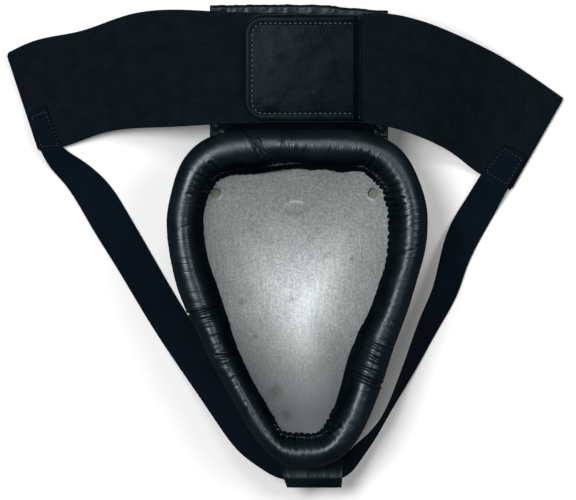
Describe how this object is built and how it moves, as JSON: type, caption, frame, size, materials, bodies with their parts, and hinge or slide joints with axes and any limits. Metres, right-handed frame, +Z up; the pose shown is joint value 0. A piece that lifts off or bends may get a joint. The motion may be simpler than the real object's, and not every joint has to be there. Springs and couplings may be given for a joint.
{
  "type": "groin protector",
  "caption": "Padded steel groin cup with a rolled rim, an elastic waistband closed by a hook-and-loop tab, and elastic leg straps.",
  "frame": {"origin": "centre of the small flat spot under the bulge of the cup, on which the protector rests", "axes": "+Z up, out of the hollow side of the cup; +Y towards the waistband; +X to the right as seen from above"},
  "size_m": [0.3365, 0.2897, 0.059],
  "materials": {
    "steel": "pressed galvanised steel sheet with a fine grain and dull smoky stains",
    "leatherette": "semi-gloss black leatherette with fine wrinkles and pleats",
    "foam": "closed-cell foam padding, pale olive where it shows",
    "waist_elastic": "wide black woven elastic with a fine diagonal rib",
    "leg_elastic": "narrow knitted elastic, black with a dark navy cast",
    "loop_tape": "black loop tape with a soft brushed pile",
    "hook_tape": "black nylon hook tape",
    "tab_lining": "plain black woven lining",
    "sewing_thread": "twisted black polyester thread, slightly shiny"
  },
  "bodies": {
    "root": {"steel_cup": "steel", "front_foam": "foam", "front_cover": "leatherette", "rim_foam_core": "foam", "rim_cover": "leatherette", "waist_panel_front": "leatherette", "waist_panel_lining": "leatherette", "belt_front": "waist_elastic", "leg_strap_left": "leg_elastic", "leg_strap_right": "leg_elastic", "bottom_sleeve": "leatherette"},
    "left_belt_half": {"belt_left_back": "waist_elastic", "loop_patch": "loop_tape"},
    "right_belt_half": {"belt_right_back": "waist_elastic"},
    "tab": {"closure_tab": "leatherette", "closure_tab_lining": "tab_lining", "hook_patch": "hook_tape"}
  },
  "joints": [
    {"name": "right_belt_opening", "type": "hinge", "parent": "root", "child": "right_belt_half", "pos_m": [0.12352, 0.10688, 0.0041], "axis": [0.4846, 0.8748, 0], "range_deg": [0, 120]},
    {"name": "left_belt_opening", "type": "hinge", "parent": "root", "child": "left_belt_half", "pos_m": [-0.14722, 0.12436, 0.0041], "axis": [0.2994, -0.9541, 0], "range_deg": [0, 66]},
    {"name": "tab_peel", "type": "hinge", "parent": "right_belt_half", "child": "tab", "pos_m": [0.0392, 0.1386, 0.0472], "axis": [0, 1, 0], "range_deg": [0, 160]}
  ],
  "couplings": [
    {"joint": "left_belt_opening", "follows": "right_belt_opening", "ratio": 0.55}
  ]
}
